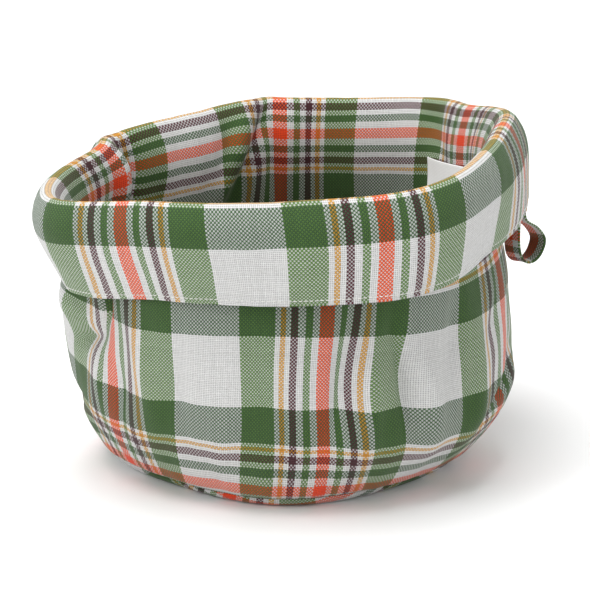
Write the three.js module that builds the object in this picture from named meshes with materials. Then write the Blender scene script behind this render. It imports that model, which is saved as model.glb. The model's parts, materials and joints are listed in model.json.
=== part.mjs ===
// A soft bread basket sewn from cotton cloth, with its rim turned down as a cuff.
// Millimetres, +Z up. It stands on z = 0, and the origin is below the middle of its base.
// A bearing is an angle in degrees about Z: 0 points along +X and 90 along +Y.
import * as THREE from "three";
import { ParametricGeometry } from "three/addons/geometries/ParametricGeometry.js";
import { mergeVertices } from "three/addons/utils/BufferGeometryUtils.js";

// Cloth, padding and thread
const clothThickness = 1.0;
const paddingThickness = 1.2;
const layerGap = 0.3;
const threadDiameter = 0.7;

// Overall sizes
const rimHeight = 147;
const mouthReach = 100;
const baseReach = 77;
const cuffDepth = 43;
const seamHeight = 5;

// Heights at which the wall's two lower outlines are taken, and the roundness of the fold
const lowHeight = 34;
const highHeight = 82;
const foldRadius = 4;

// How far the soft outlines stand out from the sizes above, as [bearing, millimetres] pairs.
// The base seam is measured from baseReach, and the other outlines from mouthReach.
const baseWander = [[-135, -5], [-90, 0], [-45, -2], [0, 6], [60, 0], [120, 0], [180, 5]];
const lowWander = [
  [-160, -7], [-105, -9], [-80, -5], [-37, 1], [0, 2], [45, 0], [100, -14], [150, -15], [178, -7],
];
const highWander = [
  [-168, 1], [-150, -4], [-120, 0], [-90, -2], [-50, -2], [-20, 1], [10, 1], [48, 2],
  [75, -9], [104, -22], [132, -30], [158, -18], [178, -3],
];
const rimWander = [
  [-162, 11], [-146, 18], [-131, 13], [-108, 11], [-86, 7], [-65, 11], [-51, 10], [-34, 3],
  [-15, -2], [7, 0], [29, 4], [49, 9], [68, -6], [86, -17], [102, -25], [128, -34], [156, -22],
  [176, -9],
];
const hemWander = [
  [-163, 5], [-148, 8], [-120, 7], [-90, 11], [-60, 18], [-35, 9], [-12, 8], [15, 13], [47, 16],
  [67, 7], [86, -4], [104, -12], [130, -18], [155, -7], [178, 4],
];

// How far the rim rises above rimHeight
const rimRise = [
  [-162, -10], [-146, -11], [-118, -4], [-90, -2], [-60, 1], [-34, 8], [-12, 12], [10, 10],
  [35, 3], [70, 1], [104, 3], [132, 1], [158, -2],
];

// How far in from the seam the base starts to turn up, and how much of the rise is at its knee
const baseTurn = 12;
const kneeLift = 0.3;

// Hanging loop, a strap bent round with both ends sewn into the cuff's hem
const loopBearing = 16;
const loopTurn = 38;
const strapWidth = 10;
const strapThickness = 1.2;
const loopLength = 28;
const loopBelly = 14;

// Care label, a cloth tag sewn to the lining along one upright edge
const labelBearing = 22;
const labelLength = 32;
const labelHeight = 40;
const labelThickness = 0.6;
const labelTop = 125;
const labelLift = 17;

// Stitching: the topstitch's distance from the hem, and the two seams' heights above the wall's foot
const stitchInset = 2;
const outerSeam = 1.5;
const liningSeam = 4;

// Fineness of the solids
const columns = 60;
const threadSides = 5;
const strapSteps = 22;

const wallThickness = 2 * clothThickness + paddingThickness + 2 * layerGap;
const halfWall = wallThickness / 2;
const radians = THREE.MathUtils.degToRad;

// A smooth closed curve through [bearing, value] pairs whose bearings rise through one turn.
function around(pairs) {
  const count = pairs.length;
  const pair = (i) => {
    const turn = Math.floor(i / count);
    const [bearing, value] = pairs[i - turn * count];
    return { bearing: bearing + 360 * turn, value };
  };
  const slope = (i) =>
    (pair(i + 1).value - pair(i - 1).value) / (pair(i + 1).bearing - pair(i - 1).bearing);
  return (bearing) => {
    const turned = bearing - 360 * Math.floor((bearing - pairs[0][0]) / 360);
    let i = 0;
    while (pair(i + 1).bearing <= turned) i += 1;
    const from = pair(i);
    const to = pair(i + 1);
    const width = to.bearing - from.bearing;
    const t = (turned - from.bearing) / width;
    const ease = t * t * (3 - 2 * t);
    const leave = t * (1 - t) * (1 - t) * width * slope(i);
    const arrive = t * t * (t - 1) * width * slope(i + 1);
    return from.value + (to.value - from.value) * ease + leave + arrive;
  };
}

const baseOut = around(baseWander);
const lowOut = around(lowWander);
const highOut = around(highWander);
const rimOut = around(rimWander);
const rise = around(rimRise);
const hemOut = around(hemWander);

// The wall's middle line at one bearing, from the base seam up to the fold and down to the hem.
// A point is (reach, height): x is the distance from the Z axis and y is the height.
function wallCurve(bearing) {
  const rim = mouthReach + rimOut(bearing);
  const crest = rimHeight + rise(bearing) - halfWall;
  const guides = [
    [baseReach + baseOut(bearing) - halfWall, seamHeight],
    [mouthReach + lowOut(bearing) - halfWall, lowHeight],
    [mouthReach + highOut(bearing) - halfWall, highHeight],
    [rim - foldRadius, crest - foldRadius],
    [rim, crest],
    [rim + foldRadius, crest - foldRadius],
    [mouthReach + hemOut(bearing) - halfWall, crest + halfWall - cuffDepth],
  ];
  return new THREE.CatmullRomCurve3(guides.map(([reach, height]) => new THREE.Vector3(reach, height, 0)));
}

// Stations along the wall's middle line, counted in guides: close together round the fold.
const stations = [0, 0.5, 1, 1.5, 2, 3, 3.5, 4, 4.5, 5, 6];
const lastGuide = stations[stations.length - 1];

// The middle line's point at a station, moved to one side: a positive side is the outer cloth's.
function wallPoint(curve, station, side) {
  const t = station / lastGuide;
  const point = curve.getPoint(t);
  const along = curve.getTangent(t);
  return new THREE.Vector2(point.x + along.y * side, point.y - along.x * side);
}

// A closed solid round the Z axis. profileAt gives its outline at a bearing, as a list of
// (reach, height) points that either closes on itself or starts and ends on the axis. From the
// step backFrom the outline runs back, and its facets are split the other way, so that two
// layers that face each other have the same facets.
function turned(profileAt, backFrom = Infinity) {
  const profiles = [];
  for (let i = 0; i < columns; i += 1) profiles.push(profileAt((360 * i) / columns));
  const steps = profiles[0].length - 1;
  const surface = (u, v, target) => {
    const column = Math.round(u * columns) % columns;
    const point = profiles[column][Math.round(v * steps)];
    const angle = (2 * Math.PI * column) / columns;
    target.set(point.x * Math.cos(angle), point.x * Math.sin(angle), point.y);
  };
  const geometry = new ParametricGeometry(surface, columns, steps);
  const facets = [];
  for (let row = 0; row < steps; row += 1) {
    for (let column = 0; column < columns; column += 1) {
      const a = row * (columns + 1) + column;
      const b = a + 1;
      const c = b + columns + 1;
      const d = a + columns + 1;
      facets.push(...(row < backFrom ? [a, b, d, b, c, d] : [a, b, c, a, c, d]));
    }
  }
  geometry.setIndex(facets);
  return geometry;
}

// One layer of the wall, between two sides of its middle line and from a first station up.
function wallLayer(innerSide, outerSide, firstStation) {
  const used = stations.filter((station) => station >= firstStation);
  return turned((bearing) => {
    const curve = wallCurve(bearing);
    const outer = used.map((station) => wallPoint(curve, station, outerSide));
    const inner = used.map((station) => wallPoint(curve, station, innerSide)).reverse();
    return [...outer, ...inner, outer[0]];
  }, used.length);
}

// A thread that runs round the basket, centred on a point that depends on the bearing.
function threadRing(centreAt) {
  return turned((bearing) => {
    const centre = centreAt(bearing);
    const ring = [];
    for (let i = 0; i <= threadSides; i += 1) {
      const angle = (2 * Math.PI * (i % threadSides)) / threadSides;
      const spoke = new THREE.Vector2(Math.cos(angle), Math.sin(angle));
      ring.push(centre.clone().addScaledVector(spoke, threadDiameter / 2));
    }
    return ring;
  });
}

// A point on the wall's middle line, a distance from the base seam or back from the hem.
function nearSeam(bearing, distance) {
  const curve = wallCurve(bearing);
  const seam = wallPoint(curve, 0, 0);
  const next = wallPoint(curve, stations[1], 0);
  return next.sub(seam).setLength(distance).add(seam);
}

function nearHem(bearing, distance, side) {
  const curve = wallCurve(bearing);
  const hem = wallPoint(curve, lastGuide, side);
  const above = wallPoint(curve, stations[stations.length - 2], side);
  return above.sub(hem).setLength(distance).add(hem);
}

// The outer base: a disc that lies on the table and turns up at its edge to meet the foot of the
// wall's outer cloth
function outerBase() {
  const thickness = clothThickness;
  return turned((bearing) => {
    const curve = wallCurve(bearing);
    const rim = wallPoint(curve, 0, halfWall);
    const rimInside = wallPoint(curve, 0, halfWall - clothThickness);
    const edge = rim.x;
    const edgeHeight = rim.y - layerGap;
    const knee = edge - baseTurn / 3;
    const flat = edge - baseTurn;
    const under = [[0, 0], [flat, 0], [knee, edgeHeight * kneeLift], [edge, edgeHeight]];
    const over = [
      [rimInside.x, rimInside.y - layerGap],
      [knee - thickness, edgeHeight * kneeLift + thickness],
      [flat - thickness, thickness],
      [0, thickness],
    ];
    return [...under, ...over].map(([reach, height]) => new THREE.Vector2(reach, height));
  });
}

// A flat disc of cloth or padding, set in from the base seam
function flatDisc(underside, thickness, edgeInset) {
  return turned((bearing) => {
    const edge = baseReach + baseOut(bearing) - edgeInset;
    return [
      new THREE.Vector2(0, underside),
      new THREE.Vector2(edge, underside),
      new THREE.Vector2(edge, underside + thickness),
      new THREE.Vector2(0, underside + thickness),
    ];
  });
}

// The lowest point of the cuff's end at a bearing, in space
function hemPoint(bearing) {
  const end = wallPoint(wallCurve(bearing), lastGuide, 0);
  const angle = radians(bearing);
  return new THREE.Vector3(end.x * Math.cos(angle), end.x * Math.sin(angle), end.y);
}

// The strap's middle line hangs from the hinge line: x points outward and z up.
function loopStrap() {
  const foot = (strapThickness + layerGap) / 2;
  const inner = foot + 1.5;
  const path = new THREE.CatmullRomCurve3([
    new THREE.Vector3(-foot, 0, 0),
    new THREE.Vector3(-inner, 0, -loopLength * 0.3),
    new THREE.Vector3(-inner, 0, -loopLength * 0.7),
    new THREE.Vector3(loopBelly * 0.25, 0, -loopLength),
    new THREE.Vector3(loopBelly * 0.85, 0, -loopLength * 0.87),
    new THREE.Vector3(loopBelly, 0, -loopLength * 0.6),
    new THREE.Vector3(loopBelly * 0.83, 0, -loopLength * 0.4),
    new THREE.Vector3(loopBelly * 0.3, 0, -loopLength * 0.26),
    new THREE.Vector3(foot * 1.3, 0, -loopLength * 0.13),
    new THREE.Vector3(foot, 0, 0),
  ]);
  const half = { width: strapWidth / 2, thickness: strapThickness / 2 };
  const section = new THREE.Shape([
    new THREE.Vector2(-half.width, -half.thickness),
    new THREE.Vector2(half.width, -half.thickness),
    new THREE.Vector2(half.width, half.thickness),
    new THREE.Vector2(-half.width, half.thickness),
  ]);
  return new THREE.ExtrudeGeometry(section, { steps: strapSteps, extrudePath: path });
}

// A straight thread of a given length along X, centred on its origin
function threadBar(length) {
  const bar = new THREE.CylinderGeometry(threadDiameter / 2, threadDiameter / 2, length, 8);
  return bar.rotateZ(Math.PI / 2);
}

// The label seen from above: a strip along +X from its sewn edge, bowed towards +Y.
function labelTag() {
  const bow = labelLength / 12;
  const outline = new THREE.Shape();
  outline.moveTo(0, 0);
  outline.quadraticCurveTo(labelLength / 2, bow, labelLength, 0);
  outline.lineTo(labelLength, labelThickness);
  outline.quadraticCurveTo(labelLength / 2, bow + labelThickness, 0, labelThickness);
  outline.closePath();
  return new THREE.ExtrudeGeometry(outline, { depth: labelHeight, bevelEnabled: false, curveSegments: 6 });
}

// The reach of the lining's inner face at a bearing and a height
function liningReach(bearing, height) {
  const curve = wallCurve(bearing);
  let below = 0;
  let above = 3;
  for (let i = 0; i < 30; i += 1) {
    const middle = (below + above) / 2;
    if (wallPoint(curve, middle, -halfWall).y < height) below = middle;
    else above = middle;
  }
  return wallPoint(curve, below, -halfWall).x;
}

function solid(geometry) {
  geometry.deleteAttribute("normal");
  geometry.deleteAttribute("uv");
  const closed = mergeVertices(geometry, 1e-4);
  closed.computeVertexNormals();
  return closed;
}

const finishes = {
  plaid: { color: 0x5e7a4a, roughness: 0.9, metalness: 0 },
  lining: { color: 0x8a9a76, roughness: 0.9, metalness: 0 },
  padding: { color: 0xe8e4da, roughness: 0.95, metalness: 0 },
  thread: { color: 0xd9d9d2, roughness: 0.8, metalness: 0 },
  strap: { color: 0xb8562f, roughness: 0.9, metalness: 0 },
  label: { color: 0xf2f2f0, roughness: 0.6, metalness: 0 },
};

function piece(name, geometry, finish) {
  const mesh = new THREE.Mesh(solid(geometry), new THREE.MeshStandardMaterial(finishes[finish]));
  mesh.name = name;
  return mesh;
}

const basket = new THREE.Group();
const firstStation = stations[0];
const outerSide = paddingThickness / 2 + layerGap;

// The wall's three layers, from the outside of the body to the inside
basket.add(piece("outer_wall", wallLayer(outerSide, halfWall, firstStation), "plaid"));
const wadding = wallLayer(-paddingThickness / 2, paddingThickness / 2, stations[1]);
basket.add(piece("wall_padding", wadding, "padding"));
basket.add(piece("lining_wall", wallLayer(-halfWall, -outerSide, firstStation), "lining"));

// The base's three layers, from the table up
const paddingBottom = clothThickness + layerGap;
const paddingInset = baseTurn + clothThickness + 2 * layerGap;
const liningBottom = paddingBottom + paddingThickness + layerGap;
const liningInset = wallThickness + clothThickness + 2 * layerGap;
basket.add(piece("outer_base", outerBase(), "plaid"));
basket.add(piece("base_padding", flatDisc(paddingBottom, paddingThickness, paddingInset), "padding"));
basket.add(piece("lining_base", flatDisc(liningBottom, clothThickness, liningInset), "lining"));

// Threads: the cuff's topstitching, and the two seams hidden between the wall's cloths
const topstitchSide = -(halfWall + layerGap + threadDiameter / 2);
const topstitch = threadRing((bearing) => nearHem(bearing, stitchInset, topstitchSide));
basket.add(piece("hem_topstitch", topstitch, "thread"));
basket.add(piece("outer_seam_thread", threadRing((bearing) => nearSeam(bearing, outerSeam)), "thread"));
basket.add(piece("lining_seam_thread", threadRing((bearing) => nearSeam(bearing, liningSeam)), "thread"));

// The loop hangs from a stitch below the hem, with room for its two ends to turn under it.
const loopRoot = hemPoint(loopBearing);
const stitchDrop = strapThickness + 4 * layerGap;
const loopHang = new THREE.Group();
loopHang.position.copy(loopRoot);
loopHang.position.z -= stitchDrop;
loopHang.rotation.z = radians(loopTurn);
const loopStitch = piece("loop_stitching", threadBar(strapWidth), "thread");
loopStitch.rotation.z = Math.PI / 2;
const loop = piece("hanging_loop", loopStrap(), "strap");
loop.position.z = -(threadDiameter / 2 + layerGap);
loopHang.add(loopStitch, loop);
basket.add(loopHang);

// The label stands off the lining at an upright stitch line.
const labelMiddle = labelTop - labelHeight / 2;
const labelStandoff = 3 * layerGap + threadDiameter;
const labelReach = liningReach(labelBearing, labelTop) - labelStandoff;
const labelHang = new THREE.Group();
labelHang.position.set(
  labelReach * Math.cos(radians(labelBearing)),
  labelReach * Math.sin(radians(labelBearing)),
  labelMiddle,
);
labelHang.rotation.z = radians(labelBearing + 90 + labelLift);
const labelStitch = piece("label_stitching", threadBar(labelHeight), "thread");
labelStitch.rotation.y = Math.PI / 2;
const label = piece("care_label", labelTag(), "label");
label.position.set(threadDiameter / 2 + layerGap, -labelThickness / 2, -labelHeight / 2);
labelHang.add(labelStitch, label);
basket.add(labelHang);

export default basket;
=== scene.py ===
"""A soft bread basket sewn from plaid cotton, with its rim turned down as a cuff.

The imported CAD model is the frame. Each cloth, padding and thread is built round it in metres, with
+Z up. A bearing is an angle in degrees about Z: 0 points along +X and 90 along +Y.
"""
import json
import math

import bpy
import numpy as np
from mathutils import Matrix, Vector


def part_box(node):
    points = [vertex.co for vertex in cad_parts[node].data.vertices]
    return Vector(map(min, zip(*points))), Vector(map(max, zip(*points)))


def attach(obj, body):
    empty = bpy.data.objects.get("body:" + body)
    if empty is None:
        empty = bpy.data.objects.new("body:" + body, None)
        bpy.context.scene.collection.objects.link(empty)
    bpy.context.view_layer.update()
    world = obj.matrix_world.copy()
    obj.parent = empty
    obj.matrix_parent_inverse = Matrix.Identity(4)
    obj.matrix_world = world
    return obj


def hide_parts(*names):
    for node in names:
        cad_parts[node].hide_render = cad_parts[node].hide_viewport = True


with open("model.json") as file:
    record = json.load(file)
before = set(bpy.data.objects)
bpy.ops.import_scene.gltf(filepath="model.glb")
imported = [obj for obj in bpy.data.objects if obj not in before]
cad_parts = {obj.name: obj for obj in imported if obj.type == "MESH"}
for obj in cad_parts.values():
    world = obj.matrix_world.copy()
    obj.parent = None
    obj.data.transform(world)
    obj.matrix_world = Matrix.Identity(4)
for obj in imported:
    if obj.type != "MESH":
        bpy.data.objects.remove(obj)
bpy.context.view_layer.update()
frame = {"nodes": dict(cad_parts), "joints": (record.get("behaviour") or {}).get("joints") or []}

bl_info = {
    "name": "Plaid bread basket",
    "version": (1, 0, 0),
    "blender": (4, 5, 0),
    "location": "View3D > Sidebar > Basket",
    "description": "Sews a soft plaid bread basket round its CAD frame",
    "category": "Add Mesh",
}

MM = 0.001

# Fineness of the cloth: columns round the basket, and rows up the wall and down the cuff
COLUMNS = 400
WALL_ROWS = 84
CUFF_ROWS = 32
# Rings of a flat disc, and the share of its reach that its middle face takes up
DISC_RINGS = 40
HUB = 0.02

# The sett of the plaid, as (colour, last thread) counted from the middle of an orange stripe to
# the middle of a white one. The cloth mirrors it on both sides.
WARP_SETT = (
    ("orange", 4), ("white", 8), ("green", 12), ("white", 16), ("maroon", 20),
    ("white", 23), ("mustard", 26), ("white", 29), ("green", 49), ("white", 69),
)
WEFT_SETT = (
    ("orange", 3), ("white", 7), ("weft_green_and_painted_shade", 11), ("white", 14), ("maroon", 18),
    ("white", 20), ("mustard", 22), ("white", 24), ("weft_green_and_painted_shade", 44), ("white", 64),
)
# How much of the crossed thread shows through, how much further the warp stands out than the weft,
# how high the weave stands, and the heights between which painted shade darkens the gaps, with their
# light
SEE_THROUGH = 0.42
WARP_LEAD = 0.1
WEAVE_RELIEF = 0.16 * MM
GAP_HEIGHTS = (0.08, 0.72)
GAP_LIGHT = (0.22, 1.0)

WARP_THREADS = 2 * WARP_SETT[-1][1]
WEFT_THREADS = 2 * WEFT_SETT[-1][1]

# Where the orange stripes' middles fall: bearings for the warp, and distances for the weft
LINING_ORANGES = (-13.1, -69.0, -125.3, -185.6, -268.4)
LINING_MAIN = 1
OUTER_ORANGES = (-79.0,)
OUTER_MAIN = 0
WEFT_FROM_CREST = 17 * MM
WEFT_FROM_SEAM = 17.6 * MM
# The outer cloth is eased in towards the base seam: how far its weft is drawn down, and over what reach
SEAM_EASE = 11.2 * MM
SEAM_EASE_REACH = 22 * MM
SIDE_SEAMS = (16.0, 190.0)

# The base seam: how far the base's turned-up edge stands in behind the wall's foot and below it, and
# the width of the bend up to it
SEAM_TUCK = 0.7 * MM
SEAM_GAP = 0.25 * MM
BASE_BEND = 7 * MM
# Where an orange crossing of the plaid lies on each base cloth
BASE_CROSSING = (-25 * MM, -72 * MM)
BASE_LINING_CROSSING = (10 * MM, -30 * MM)

# The wadding stops this far from the hem and from the base seam
WADDING_FROM_HEM = 7 * MM
WADDING_FROM_SEAM = 8 * MM

# The strap and its path at its own size, as (outward, down) in millimetres from the hinge, and the
# depth of that path
LOOP_WIDTH, LOOP_THICKNESS = 10 * MM, 1.15 * MM
LOOP_PATH = (
    (-0.75, 0.4), (-1.8, 4.5), (-2.3, 10), (-2.3, 19), (-0.6, 25.0), (3.5, 28.1), (8.6, 27.4),
    (12.4, 23.6), (13.6, 18.2), (9.2, 12.4), (2.6, 8.0), (0.85, 3.6), (0.75, 0.4),
)
LOOP_DEPTH = 29.3 * MM
LABEL_THICKNESS = 0.45 * MM

# The camera, and the lamps as (name, place, width, watts)
CAMERA_TARGET = (0.005, 0, 0.075)
CAMERA_DISTANCE = 1.160
CAMERA_RISE = 16
CAMERA_VIEW = 13.1
LAMPS = (
    ("overhead_softbox", (-0.25, -0.25, 1.5), 1.2, 21),
    ("left_softbox", (-1.5, -1.0, 0.9), 0.9, 12),
    ("right_softbox", (1.5, -1.1, 0.8), 1.1, 6),
    ("back_softbox", (0.3, 1.7, 1.0), 1.3, 8),
)
LAMPS_AIM = (0, 0, 0.07)
ROOM_LIGHT = 0.62


class BasketSizes(bpy.types.PropertyGroup):
    """Sizes of the cloth and its sewing"""

    thread_pitch: bpy.props.FloatProperty(
        name="Thread pitch", description="Distance between neighbouring threads of the plaid",
        default=0.8 * MM, min=0.4 * MM, max=2 * MM, unit="LENGTH", precision=5,
    )
    crease_depth: bpy.props.FloatProperty(
        name="Crease depth", description="How deep the soft folds are, against their usual depth",
        default=1.0, min=0.0, max=1.5,
    )
    stitch_length: bpy.props.FloatProperty(
        name="Stitch length", description="Length of one topstitch, with the gap after it",
        default=2.2 * MM, min=1.5 * MM, max=5 * MM, unit="LENGTH", precision=5,
    )
    thread_width: bpy.props.FloatProperty(
        name="Sewing thread", description="Diameter of the sewing thread",
        default=0.42 * MM, min=0.2 * MM, max=0.8 * MM, unit="LENGTH", precision=5,
    )
    stitch_inset: bpy.props.FloatProperty(
        name="Stitch inset", description="Distance of the topstitching from the cuff's hem",
        default=2 * MM, min=1 * MM, max=6 * MM, unit="LENGTH", precision=5,
    )


def colour_property(name, description, default):
    return bpy.props.FloatVectorProperty(
        name=name, description=description, subtype="COLOR", size=3, min=0, max=1, default=default
    )


class BasketColours(bpy.types.PropertyGroup):
    """Colours of the threads, the padding and the stage"""

    white: colour_property("White", "White cotton thread", (0.58, 0.58, 0.572))
    green: colour_property("Green", "Green cotton thread of the warp", (0.084, 0.172, 0.036))
    # The weft's green thread, darker than the warp's by painted shade that stands in for the shade in
    # the gaps beside white threads
    weft_green_and_painted_shade: colour_property("Deep green", "Green cotton thread of the weft", (0.040, 0.090, 0.035))
    maroon: colour_property("Maroon", "Maroon cotton thread", (0.07, 0.013, 0.02))
    orange: colour_property("Orange", "Orange cotton thread", (0.66, 0.075, 0.010))
    mustard: colour_property("Mustard", "Mustard cotton thread", (0.50, 0.26, 0.035))
    sewing: colour_property("Sewing thread", "Off-white sewing thread", (0.80, 0.80, 0.76))
    wadding: colour_property("Wadding", "Needled cotton wadding", (0.80, 0.77, 0.70))
    satin: colour_property("Label satin", "Blank white satin of the care label", (0.86, 0.86, 0.85))
    floor: colour_property("Floor", "Pale floor of the stage", (0.93, 0.93, 0.93))


def sizes():
    return bpy.context.scene.basket_sizes


def colours():
    return bpy.context.scene.basket_colours


# ---- The wall, read from the frame ----


def through(knots, values, at):
    """Values at other places on a smooth curve through the given knots."""
    slope = np.gradient(values, knots, axis=0)
    i = np.clip(np.searchsorted(knots, at, side="right") - 1, 0, len(knots) - 2)
    width = knots[i + 1] - knots[i]
    t = (at - knots[i]) / width
    shape = (-1,) + (1,) * (values.ndim - 1)
    t, width = t.reshape(shape), width.reshape(shape)
    ease = t * t * (3 - 2 * t)
    leave = t * (1 - t) ** 2 * width * slope[i]
    arrive = t * t * (t - 1) * width * slope[i + 1]
    return values[i] * (1 - ease) + values[i + 1] * ease + leave + arrive


def fade(distance, reach):
    """1 at no distance, fading to 0 over the reach."""
    return np.exp(-((distance / reach) ** 2))


def round_curve(bearings, values, at):
    """Values at other bearings on a smooth curve that runs all round the basket."""
    lap = 3
    wide = np.concatenate([bearings[-lap:] - 360, bearings, bearings[:lap] + 360])
    values = np.concatenate([values[-lap:], values, values[:lap]])
    return through(wide, values, at % 360)


def wall_face(node, outside):
    """One face of a wall cloth, read from its CAD solid, from the base seam over the fold to the
    hem: bearings, and reach and height at each bearing and step."""
    mesh = frame["nodes"][node].data
    raw = np.array([v.co for v in mesh.vertices])
    places, same = np.unique(np.round(raw, 6), axis=0, return_inverse=True)
    same = same.ravel()
    bearing = np.round(np.degrees(np.arctan2(places[:, 1], places[:, 0])), 1) % 360
    bearings, column = np.unique(bearing, return_inverse=True)
    profile = np.stack([np.hypot(places[:, 0], places[:, 1]), places[:, 2]], 1)
    beside = {}
    for edge in mesh.edges:
        a, b = same[edge.vertices[0]], same[edge.vertices[1]]
        if a != b and column[a] == column[b]:
            beside.setdefault(a, set()).add(b)
            beside.setdefault(b, set()).add(a)
    faces = []
    for k in range(len(bearings)):
        members = np.flatnonzero(column == k)
        feet = members[np.argsort(profile[members, 1])[:2]]
        feet = feet[np.argsort(profile[feet, 0])]
        start, before = (feet[1], feet[0]) if outside else (feet[0], feet[1])
        path = [start]
        while len(path) < len(members) // 2:
            onward = [n for n in beside[path[-1]] if n != before]
            before = path[-1]
            path.append(onward[0])
        faces.append(profile[path])
    return bearings, np.array(faces)


def eased(count, ends):
    """Fractions from 0 to 1, with steps at both ends that are shorter by the share ends."""
    t = np.linspace(0, 1, count + 1)
    return t - ends * np.sin(2 * math.pi * t) / (2 * math.pi)


class Wall:
    """The wall's middle surface as a fine grid of columns and rows, and what lies on it."""

    def __init__(self):
        bearings, inner = wall_face("lining_wall", False)
        _, outer = wall_face("outer_wall", True)
        middle = (inner + outer) / 2
        self.half = float(np.linalg.norm(outer - inner, axis=2).mean()) / 2
        self.bearing = SIDE_SEAMS[0] + 360 * np.arange(COLUMNS) / COLUMNS
        fine = round_curve(bearings, middle, self.bearing)
        crest = int(np.argmax(fine[:, :, 1].mean(0)))
        wall, cuff = eased(WALL_ROWS, 0.45), eased(CUFF_ROWS, 0.5)
        profile = []
        self.along = []
        for column in fine:
            steps = np.linalg.norm(np.diff(column, axis=0), axis=1)
            knots = np.concatenate([[0], np.cumsum(steps)])
            at = np.concatenate(
                [knots[crest] * wall, knots[crest] + (knots[-1] - knots[crest]) * cuff[1:]]
            )
            profile.append(through(knots, column, at))
            self.along.append(at)
        profile = np.array(profile)
        self.along = np.array(self.along)
        angle = np.radians(self.bearing)[:, None]
        reach, height = profile[:, :, 0], profile[:, :, 1]
        reach = reach + self.corners(height)
        self.smooth = np.stack([reach * np.cos(angle), reach * np.sin(angle), height], 2)
        self.crest = WALL_ROWS
        self.from_seam = self.along
        self.from_crest = self.along - self.along[:, self.crest : self.crest + 1]
        self.to_hem = self.along[:, -1:] - self.along
        self.drift = sum(self.fold(*drift) for drift in DRIFTS)
        self.drift += sum(self.fold(*drift, cuff=True) for drift in CUFF_DRIFTS)
        self.places = self.smooth + self.normals(self.smooth) * self.folds()[:, :, None]
        self.normal = self.normals(self.places)

    def turned_from(self, bearing):
        """How many degrees each column lies beyond a bearing, from -180 to 180."""
        return (self.bearing - bearing + 180) % 360 - 180

    def corners(self, height):
        """How far the upper wall and its cuff stand out together where the rim turns sharply."""
        top = np.clip((height / MM - CORNERS_FROM) / (CORNERS_TO - CORNERS_FROM), 0, 1)
        top = top * top * (3 - 2 * top)
        push = np.zeros(len(self.bearing))
        for bearing, width, out in CORNERS:
            push += out * MM * fade(self.turned_from(bearing), width)
        return push[:, None] * top * sizes().crease_depth

    @staticmethod
    def normals(places):
        """Which way the wall's outside faces at each point of a grid."""
        around = np.roll(places, -1, 0) - np.roll(places, 1, 0)
        normal = np.cross(around, np.gradient(places, axis=1))
        return normal / np.linalg.norm(normal, axis=2, keepdims=True)

    def fold(self, bearing, height, length, width, push, turn=0.0, cuff=False):
        """A soft fold in the cloth: a long low hill, or a hollow if push is below 0. It lies upright
        at turn 0 and leans towards a rising bearing by turn degrees. Sizes are in millimetres."""
        reach = np.hypot(self.smooth[:, :, 0], self.smooth[:, :, 1])
        across = np.radians(self.turned_from(bearing))[:, None] * reach / MM
        up = self.smooth[:, :, 2] / MM - height
        lean = math.radians(turn)
        long_way = up * math.cos(lean) + across * math.sin(lean)
        short_way = across * math.cos(lean) - up * math.sin(lean)
        hill = np.exp(-((long_way / length) ** 2) - (short_way / width) ** 2)
        on_cuff = np.arange(hill.shape[1]) > self.crest
        return push * hill * (on_cuff if cuff else ~on_cuff)

    def folds(self):
        """How far the cloth stands out from its smooth shape, in metres."""
        off = np.radians(self.bearing)[:, None]
        up = self.smooth[:, :, 2] / MM
        rows = self.along.shape[1]
        on_wall = (np.arange(rows) <= self.crest)[None, :]
        depth = np.zeros_like(up)
        for hill in WALL_FOLDS:
            depth += self.fold(*hill)
        for hill in CUFF_FOLDS:
            depth += self.fold(*hill, cuff=True)
        # Small waves that no one fold accounts for
        ripple = np.random.default_rng(7)
        for size, waves, climb in RIPPLES:
            shift, lean = ripple.uniform(0, 2 * math.pi, 2)
            depth += size * np.sin(waves * off + shift + np.sin(up / climb + lean) * 1.6) * (
                0.6 + 0.4 * np.sin(up / (1.7 * climb) + 3 * off + lean)
            )
        reach, share = CREST_CALM
        depth *= 1 - share * fade(self.from_crest, reach)
        reach, share = SEAM_CALM
        tuck = FOOT_TUCK * fade(self.from_seam, FOOT_TUCK_REACH) * on_wall
        depth = depth * (1 - share * fade(self.from_seam, reach)) - tuck
        return depth * sizes().crease_depth * MM

    def pinch(self):
        """From 0 to 1, how far the two cloths are drawn together: fully at the hem, less at the
        topstitching, and again at the base seam."""
        stitch = fade(self.to_hem - sizes().stitch_inset, 1.1 * MM)
        hem = fade(self.to_hem, 1.3 * MM)
        seam = fade(self.from_seam, 3.5 * MM)
        soft = fade(self.to_hem, 5 * MM)
        return np.clip(0.55 * stitch + 0.9 * hem + 0.25 * soft, 0, 1) + seam * 0.55

    def face(self, side):
        """Points of the face that stands off the middle surface by side, in metres."""
        layer = cloth_thickness()
        cloth_middle = math.copysign(self.half - layer / 2, side)
        off = side - cloth_middle
        drawn = cloth_middle * (1 - DRAWN_IN * np.clip(self.pinch(), 0, 1)) + off
        return self.places + self.normal * drawn[:, :, None]

    def anchored(self, start_bearing):
        """Distance round the basket from a bearing, at each column and row, with one column more."""
        turn = np.concatenate([self.smooth, self.smooth[:1]])
        steps = np.linalg.norm(np.diff(turn, axis=0)[:, :, :2], axis=2)
        reached = np.concatenate([np.zeros((1, steps.shape[1])), np.cumsum(steps, axis=0)])
        bearings = np.append(self.bearing, self.bearing[0] + 360)
        place = (start_bearing - bearings[0]) % 360 + bearings[0]
        return reached - through(bearings, reached, np.array([place]))


def cloth_thickness():
    """Thickness of one cloth, read from the base lining's solid."""
    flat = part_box("lining_base")
    return float(flat[1][2] - flat[0][2])


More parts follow.
